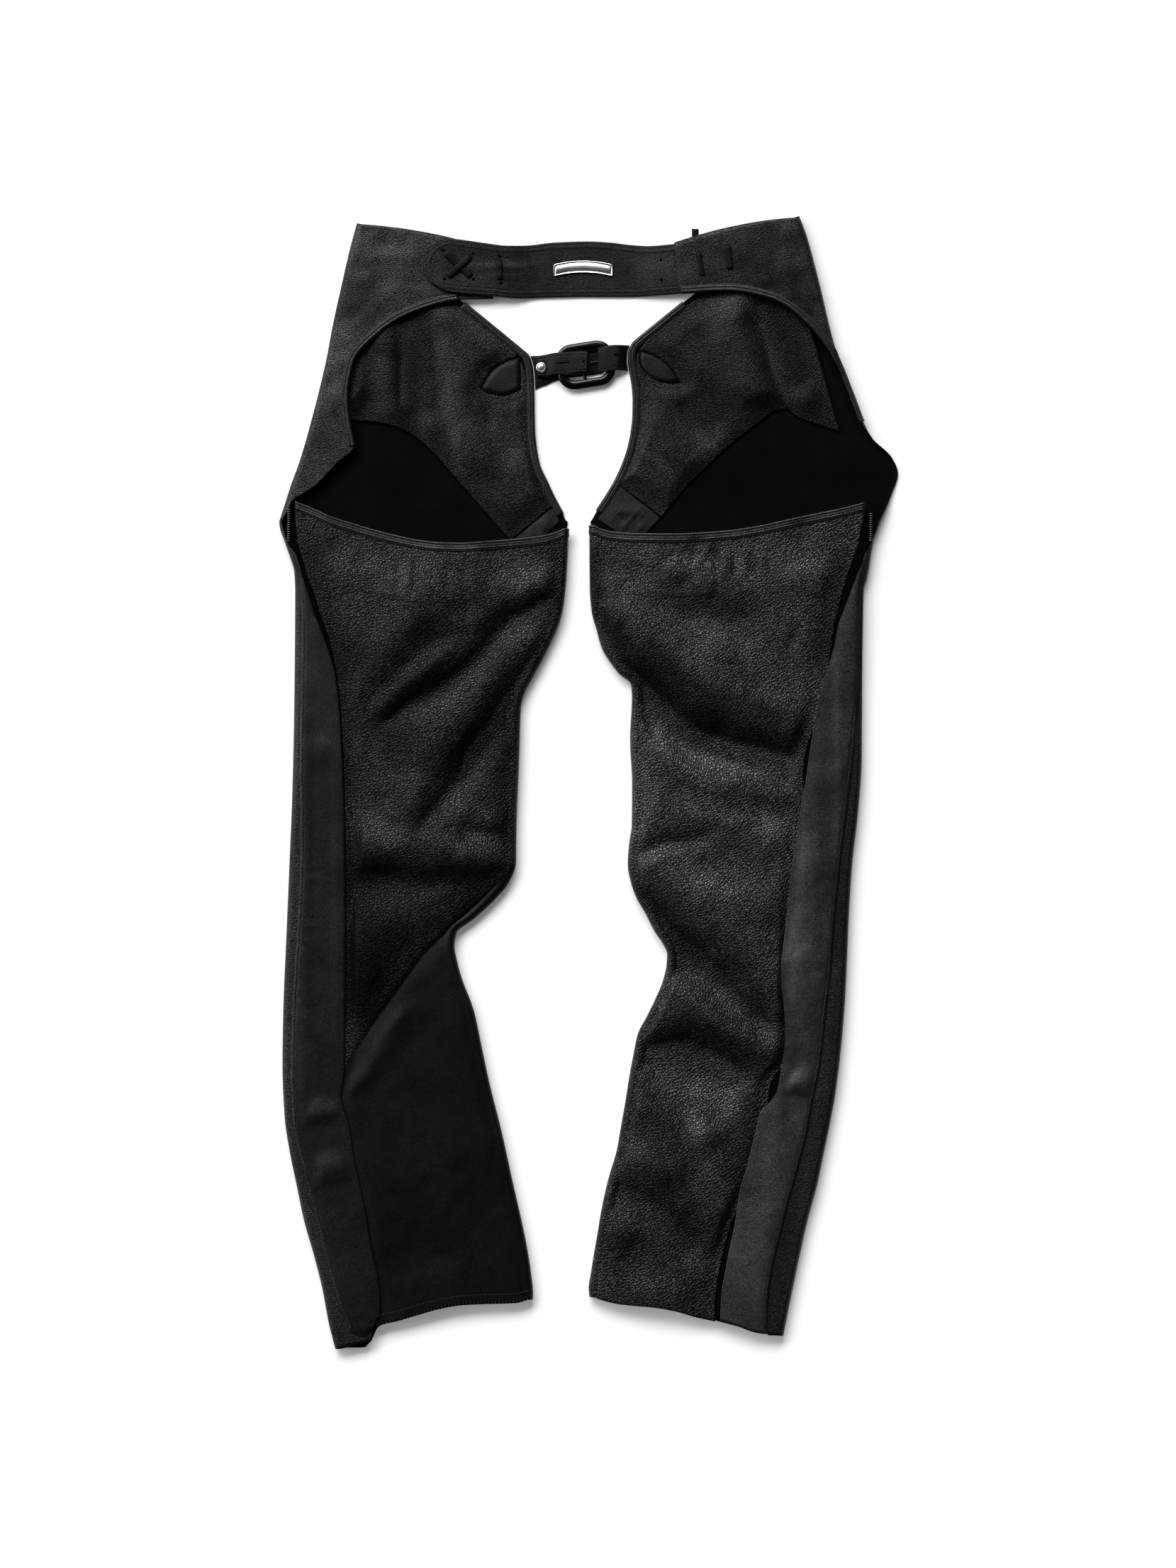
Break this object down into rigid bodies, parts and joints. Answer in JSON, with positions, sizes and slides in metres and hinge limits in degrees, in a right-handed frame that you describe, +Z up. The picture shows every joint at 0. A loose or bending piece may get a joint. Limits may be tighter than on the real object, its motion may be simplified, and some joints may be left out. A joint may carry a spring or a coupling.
{
  "type": "leather chaps",
  "caption": "Black leather riding chaps laid flat, back up: two zipped legs, open seat, laced back belt and a buckled front strap.",
  "frame": {"origin": "on the table under the middle of the laid-out garment", "axes": "+Y from the hems to the waist, +X to the right of the garment seen from above, +Z up from the table, out of the back of the garment"},
  "size_m": [0.5834, 1.0674, 0.019],
  "materials": {
    "leather": "pebbled black cowhide",
    "binding": "smooth black leather",
    "suede": "black leather, flesh side inside and grain outside",
    "lining": "thin black lining",
    "zip": "black zip tape with dark teeth",
    "metal": "polished nickel"
  },
  "bodies": {
    "root": {"back_belt": "leather", "back_panel_left": "leather", "back_panel_right": "leather", "belt_plate": "metal", "buckle_frame": "metal", "buckle_loop_left": "leather", "buckle_prong": "metal", "buckle_strap_left": "leather", "buckle_strap_right": "leather", "front_binding_left": "binding", "front_binding_right": "binding", "front_lining_left": "lining", "front_lining_right": "lining", "front_panel_left": "suede", "front_panel_right": "suede", "lace_bar_left": "leather", "lace_bar_right": "leather", "lace_cross_over": "leather", "lace_cross_under": "leather", "lace_end": "leather", "lace_twist_right": "leather", "seat_binding_left": "binding", "seat_binding_right": "binding", "snap_head": "metal", "strap_root_left": "leather", "strap_root_right": "leather", "thigh_binding_left": "binding", "thigh_binding_right": "binding", "thigh_facing_left": "lining", "thigh_facing_right": "lining", "zip_flap_left": "binding", "zip_flap_right": "binding", "zip_left": "zip", "zip_right": "zip"}
  },
  "joints": []
}
